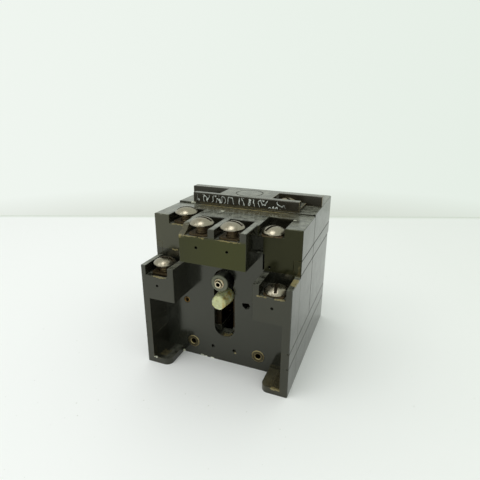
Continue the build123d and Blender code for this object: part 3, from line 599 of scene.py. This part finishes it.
def make_arm():
    """The drive arm: dark, with the front of its boss rubbed pale round the eyelet."""
    mesh = clean_copy("drive_arm")
    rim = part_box("drive_arm")[0].y + BOSS_RUB
    for face in mesh.faces:
        face.material_index = 1 if face.calc_center_median().y < rim else 0
    mark_corners(mesh, SHORTEST)
    piece = stand_for("drive_arm", "drive_arm_rubbed", mesh, ("phenolic_arm", "arm_face"))
    round_edges(piece, EDGE_ROUND, slot=-1)
    shade_smooth(piece)


def make_moulding(node_name):
    """A moulded layer with rounded, worn outside edges."""
    mesh = clean_copy(node_name)
    mark_corners(mesh, SHORTEST_PLATE if node_name == "front_plate" else SHORTEST)
    finish = finish_of(node_name)
    piece = stand_for(node_name, node_name + "_moulding", mesh, (finish, finish + "_edge"))
    round_edges(piece, EDGE_ROUND)
    shade_smooth(piece)


def islands(mesh):
    """The separate solids of a bmesh, each as a set of faces."""
    left = set(mesh.faces)
    while left:
        group, frontier = set(), [left.pop()]
        while frontier:
            face = frontier.pop()
            group.add(face)
            near = {f for v in face.verts for f in v.link_faces} & left
            left -= near
            frontier.extend(near)
        yield group


def make_screws(node_name):
    """Screws with softened heads, slots darkened as painted shade, and rusty threads."""
    mesh = clean_copy(node_name)
    weight = mesh.edges.layers.float.new("bevel_weight_edge")
    for group in islands(mesh):
        points = [v.co for f in group for v in f.verts]
        axis = Vector([(min(p[i] for p in points) + max(p[i] for p in points)) / 2
                       for i in (0, 1)])
        top = max(p.z for p in points)
        for face in group:
            face.material_index = screw_part(face, axis, top)
            for edge in face.edges:
                on_head = min(v.co.z for v in edge.verts) > top - HEAD_DEPTH
                if on_head and is_corner(edge):
                    edge[weight] = 1.0
    slots = (SLOT_OF[node_name], "thread_rust", "slot_painted_shade")
    piece = stand_for(node_name, node_name + "_finish", mesh, slots)
    round_edges(piece, SCREW_ROUND, slot=0)
    shade_smooth(piece, TURNED_SMOOTH)


def screw_part(face, axis, top):
    """Material index of a screw's face: 0 for the head, 1 for the thread, 2 for the slot."""
    middle = face.calc_center_median()
    offset = middle.xy - axis
    if middle.z < top - HEAD_DEPTH:
        return 1 if offset.length < SHANK_REACH else 0
    wall = abs(face.normal.z) < 0.1 and abs(offset.dot(face.normal.xy)) < SLOT_HALF
    floor = face.normal.z > 0.99 and middle.z < top - SLOT_DEPTH
    return 2 if wall or floor else 0


def make_ring(node_name):
    """Brass rings with bright turned edges."""
    mesh = clean_copy(node_name)
    mark_corners(mesh, SHORTEST_METAL)
    finish = finish_of(node_name)
    piece = stand_for(node_name, node_name + "_turned", mesh, (finish, finish + "_edge"))
    round_edges(piece, RING_ROUND, segments=3)
    shade_smooth(piece, TURNED_SMOOTH)


def make_spring(node_name):
    """Return spring, a smooth-shaded copy of the CAD coil."""
    mesh = welded_copy(node_name)
    piece = stand_for(node_name, node_name + "_coil", mesh, ("spring_steel",))
    shade_smooth(piece, COIL_SMOOTH)
    low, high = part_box(node_name)
    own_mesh(piece)


def cut_flats(mesh, centre):
    """Cut the flats round the tip's front end, and divide what is left for the dents."""
    for degrees, reach in TIP_FLATS:
        angle = math.radians(degrees)
        out = Vector((math.cos(angle), 0, math.sin(angle)))
        cut = bmesh.ops.bisect_plane(mesh, geom=mesh.verts[:] + mesh.edges[:] + mesh.faces[:],
                                     plane_co=centre + out * reach * MM, clear_outer=True,
                                     plane_no=(out + Vector((0, -TIP_LEAN, 0))).normalized())
        rim = [e for e in cut["geom_cut"] if isinstance(e, bmesh.types.BMEdge)]
        bmesh.ops.edgeloop_fill(mesh, edges=rim)
    bmesh.ops.triangulate(mesh, faces=mesh.faces)
    long_edges = [e for e in mesh.edges if e.calc_length() > TIP_GRAIN]
    bmesh.ops.subdivide_edges(mesh, edges=long_edges, cuts=3, use_grid_fill=True)


def make_tip():
    """The cream tip: the CAD's blunt knob with the flats and dents of an old moulding."""
    mesh = clean_copy("drive_tip")
    low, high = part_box("drive_tip")
    centre = Vector(((low.x + high.x) / 2, low.y, (low.z + high.z) / 2))
    cut_flats(mesh, centre)
    plate_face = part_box("front_plate")[0].y
    for vert in mesh.verts:
        out = min(1.0, max(0.0, (plate_face - vert.co.y) / (plate_face - low.y)))
        dent = TIP_SHRINK + TIP_DENTS * noise.noise(vert.co * DENTS_PER_METRE + DENTS_SHIFT)
        vert.co.x -= (vert.co.x - centre.x) * max(0.0, out * dent)
        vert.co.z -= (vert.co.z - centre.z) * max(0.0, out * dent)
        vert.co.y = min(vert.co.y, high.y - TIP_CLEARANCE)
    piece = stand_for("drive_tip", "drive_tip_knob", mesh, ("nylon_tip",))
    shade_smooth(piece, TIP_SMOOTH)


def make_eyelet():
    """Crimped eyelet with its lips rolled over: a bright tube in a tarnished rim."""
    mesh = clean_copy("drive_eyelet")
    mark_corners(mesh, SHORTEST_METAL)
    low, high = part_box("drive_eyelet")
    axis = (low + high) / 2
    for face in mesh.faces:
        middle = face.calc_center_median()
        reach = math.hypot(middle.x - axis.x, middle.z - axis.z)
        face.material_index = 1 if reach > EYELET_TUBE else 0
    piece = stand_for("drive_eyelet", "drive_eyelet_rolled", mesh,
                      ("eyelet_metal", "ring_brown_edge"))
    round_edges(piece, LIP_ROUND, segments=3, slot=-1)
    shade_smooth(piece, TURNED_SMOOTH)


def finish_cad_nodes():
    """Give each CAD node that stays on show its procedural material."""
    for name, piece in frame["nodes"].items():
        if piece.hide_render:
            continue
        piece.data.materials.clear()
        piece.data.materials.append(MATERIALS[finish_of(name)])


# ---- stage ------------------------------------------------------------------------------------
CAMERA_PLACE = Vector((60.89, -156.70, 109.53)) * MM
CAMERA_AZIMUTH = math.radians(21.935)
CAMERA_ELEVATION = math.radians(19.516)
CAMERA_ROLL = math.radians(-0.214)
CAMERA_LENS = 29.305
CAMERA_RIGHT = (0.93, 0.37, 0.0)   # level direction to the right of the view
# Heights of the view direction over which the wall's shade grows, and ends at the table
SHADE_GROWS = (-0.20, -0.275)
SHADE_ENDS = (-0.32, -0.285)

TABLE_BACK = 213 * MM              # the table's edges, along the view
TABLE_FRONT = -0.9
TABLE_HALF_WIDTH = 1.2
# Painted shadow: a darker line along the table's back edge, where it meets the wall
TABLE_SHADOW_LINE = 4 * MM                # width of the darker line along the back edge
PAST_TABLE = 90 * MM
# Where painted shade greys the table towards the right
TABLE_SHADE_X = (-50 * MM, 150 * MM)


def make_camera():
    """The camera, at the fitted place and angle."""
    data = bpy.data.cameras.new("camera")
    data.lens = CAMERA_LENS
    data.sensor_width = 36
    data.clip_start = 0.01
    camera = bpy.data.objects.new("camera", data)
    turn = (Matrix.Rotation(CAMERA_AZIMUTH, 4, "Z")
            @ Matrix.Rotation(math.pi / 2 - CAMERA_ELEVATION, 4, "X")
            @ Matrix.Rotation(-CAMERA_ROLL, 4, "Z"))
    camera.matrix_world = Matrix.Translation(CAMERA_PLACE) @ turn
    bpy.context.scene.collection.objects.link(camera)
    bpy.context.scene.camera = camera


def table_finish():
    """Pale table top, greyed to the right as painted shade, with a thin painted shadow line at its
    back edge.
    """
    tree = new_material("pale_table")
    # Painted shade: the table greys towards the right
    rightward = span(tree, coordinate(tree, "X"), *TABLE_SHADE_X)
    tone = mixed(tree, rightward, colour(0.90, 0.885, 0.90), colour(0.84, 0.84, 0.83))
    # Painted shadow line along the table's back edge
    edge = within(tree, "Y", TABLE_BACK - TABLE_SHADOW_LINE, TABLE_BACK + PAST_TABLE, TABLE_SHADOW_LINE)
    tone = mixed(tree, times(tree, edge, 0.9), tone, colour(0.60, 0.64, 0.56))
    specks = cloud(tree, 1.6 * MM, 0.73, 0.76, detail=1.0, shift=11.0)
    tone = mixed(tree, times(tree, specks, 0.4), tone, colour(0.40, 0.40, 0.34))
    normal = bumped(tree, cloud(tree, 2 * MM, 0.3, 0.7), 0.01 * MM)
    finish_surface(tree, tone, 0.55, normal, IOR=1.4)


def make_floor():
    """The table top that the block stands on, square to the view."""
    table_finish()
    mesh = bmesh.new()
    bmesh.ops.create_grid(mesh, x_segments=1, y_segments=1, size=1)
    for vert in mesh.verts:
        vert.co.x *= TABLE_HALF_WIDTH
        vert.co.y = TABLE_BACK if vert.co.y > 0 else TABLE_FRONT
    data = bpy.data.meshes.new("table")
    mesh.to_mesh(data)
    mesh.free()
    data.materials.append(MATERIALS["pale_table"])
    table = bpy.data.objects.new("table", data)
    table.rotation_euler.z = CAMERA_AZIMUTH
    bpy.context.scene.collection.objects.link(table)
    table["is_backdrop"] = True


def make_light(name, location, target, side, watts):
    """A square softbox that faces the target."""
    data = bpy.data.lights.new(name, "AREA")
    data.shape = "RECTANGLE"
    data.size = side
    data.size_y = side
    data.energy = watts
    light = bpy.data.objects.new(name, data)
    light.location = location
    aim = Vector(target) - Vector(location)
    light.rotation_euler = aim.to_track_quat("-Z", "Y").to_euler()
    bpy.context.scene.collection.objects.link(light)


def make_world():
    """White room, greyer to the right, with a faint shade where the wall meets the table."""
    world = bpy.data.worlds.new("white_room")
    world.use_nodes = True
    tree = world.node_tree
    tree.nodes.clear()
    direction = node(tree, "TexCoord").outputs["Generated"]
    rightward = node(tree, "VectorMath", {0: direction, 1: CAMERA_RIGHT},
                     operation="DOT_PRODUCT").outputs["Value"]
    tone = mixed(tree, span(tree, rightward, -0.55, 0.55), colour(0.87, 0.92, 0.87),
                 colour(0.79, 0.86, 0.79))
    height = node(tree, "SeparateXYZ", {0: direction}).outputs["Z"]
    shade = times(tree, span(tree, height, *SHADE_GROWS), span(tree, height, *SHADE_ENDS))
    tone = mixed(tree, times(tree, shade, 0.30), tone, colour(0.34, 0.33, 0.23))
    background = node(tree, "Background", {"Color": tone, "Strength": 1.0})
    node(tree, "OutputWorld", {"Surface": background.outputs[0]})
    bpy.context.scene.world = world


def make_stage():
    """Room, table, camera and lights."""
    make_world()
    make_floor()
    make_camera()
    make_light("overhead_softbox", (-0.05, -0.2, 0.7), target=(0, 0, 0), side=0.3, watts=1.0)
    make_light("left_softbox", (-0.45, -0.35, 0.65), target=(0, 0, 0.03), side=0.22, watts=0.25)
    bpy.context.scene.view_settings.view_transform = "Standard"


make_phenolics()
make_metals()
nylon("nylon_tip")
for moulding in MOULDINGS:
    make_moulding(moulding)
for screws in TERMINAL_SCREWS:
    make_screws(screws)
for ring in RINGS:
    make_ring(ring)
for spring in SPRINGS:
    make_spring(spring)
make_arm()
make_tip()
make_eyelet()
finish_cad_nodes()
make_stage()

boxes = {"cad": CAD_BOX, "visual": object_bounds()}
{name: [list(corner) for corner in box] for name, box in boxes.items()}
